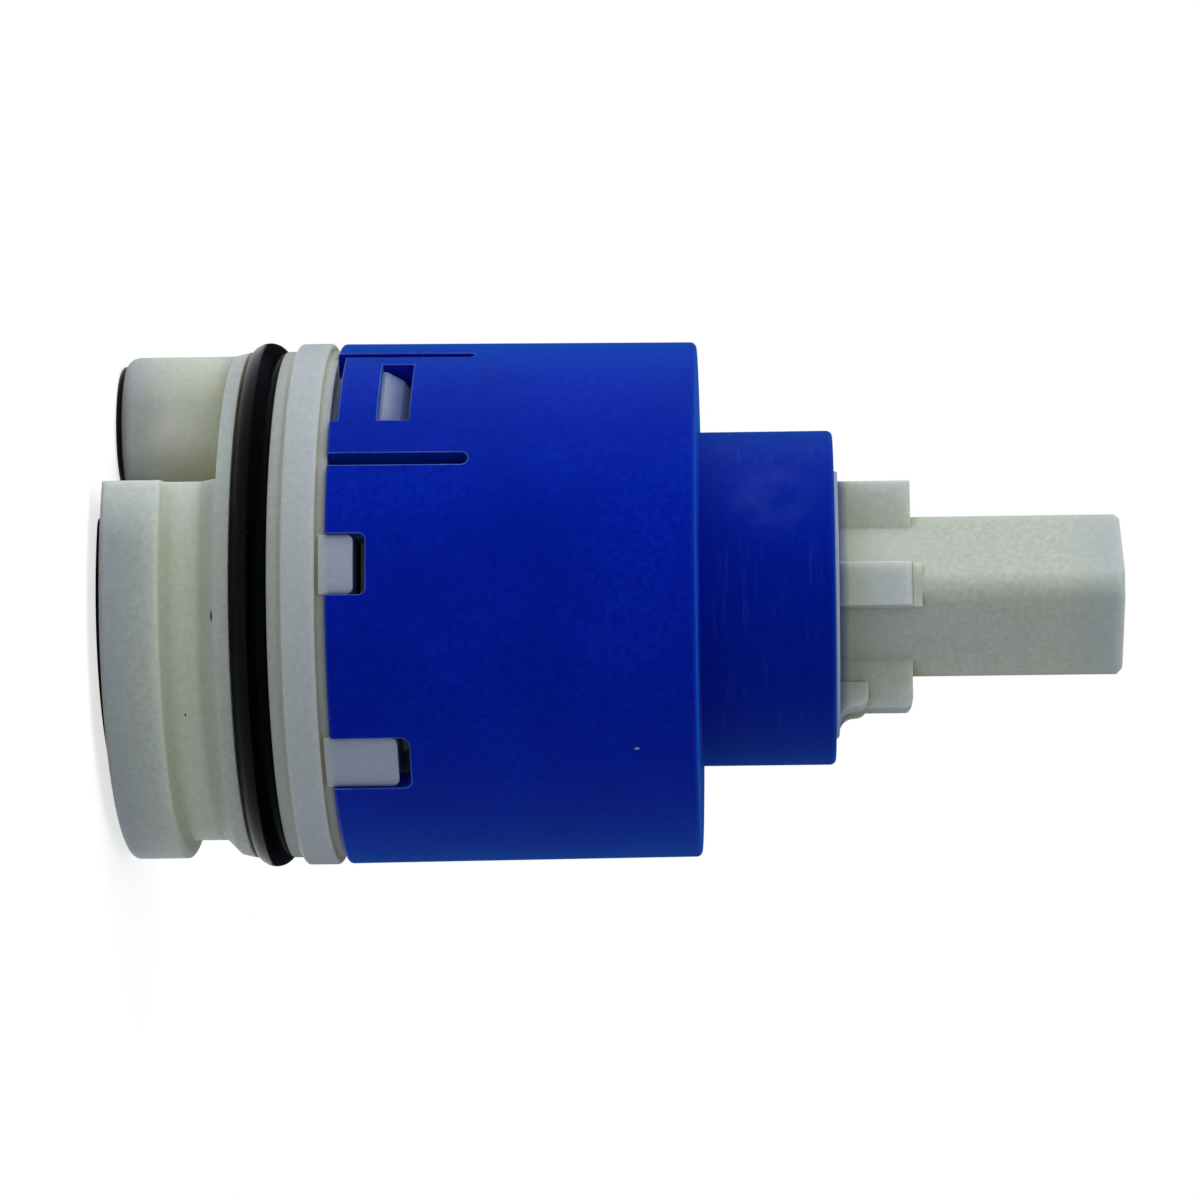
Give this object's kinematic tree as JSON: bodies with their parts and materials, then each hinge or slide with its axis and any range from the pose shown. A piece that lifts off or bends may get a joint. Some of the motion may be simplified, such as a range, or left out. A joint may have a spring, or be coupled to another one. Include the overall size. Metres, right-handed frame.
{
  "type": "mixer tap cartridge",
  "caption": "Single-lever ceramic-disc mixer cartridge: a lever tips to open and turns to mix, in a housing clipped over a base with two inlet ports and an outlet collar.",
  "frame": {"origin": "on the cartridge's axis, in the plane of the port seals that it stands on", "axes": "+Z along the lever stem, -X towards the outlet collar, -Y towards a short key; the open lever leans to -X"},
  "size_m": [0.0352, 0.0352, 0.067],
  "materials": {
    "white_resin": "moulded natural POM, slightly translucent",
    "blue_resin": "moulded blue POM, satin",
    "black_rubber": "moulded nitrile rubber, lightly greased",
    "ceramic": "lapped alumina ceramic",
    "steel": "ground stainless steel",
    "bronze": "turned bearing bronze"
  },
  "bodies": {
    "body": {"base": "white_resin", "inlet_gasket": "black_rubber", "outlet_port_seal": "black_rubber", "body_o_ring": "black_rubber", "housing": "blue_resin", "disc_seal_hot": "black_rubber", "disc_seal_cold": "black_rubber", "disc_seal_outlet": "black_rubber", "fixed_disc": "ceramic"},
    "rotor": {"rotor": "white_resin", "rotor_o_ring": "black_rubber", "slide_ring": "bronze", "hinge_pin": "steel"},
    "lever": {"lever_stem": "white_resin"},
    "carrier": {"disc_carrier": "white_resin", "moving_disc": "ceramic", "silencer_mesh": "steel", "chamber_seal": "black_rubber", "ball_bush": "bronze"}
  },
  "joints": [
    {"name": "rotor_turn", "type": "hinge", "parent": "body", "child": "rotor", "pos_m": [0, 0, 0.0435], "axis": [0, 0, 1], "range_deg": [-50, 50]},
    {"name": "lever_tilt", "type": "hinge", "parent": "rotor", "child": "lever", "pos_m": [0, 0, 0.04466], "axis": [0, -1, 0], "range_deg": [0, 20]},
    {"name": "carrier_slide", "type": "slide", "parent": "rotor", "child": "carrier", "axis": [1, 0, 0], "range_m": [0, 0.00386]}
  ],
  "couplings": [
    {"joint": "carrier_slide", "follows": "lever_tilt", "m_per_rad": 0.011034}
  ]
}
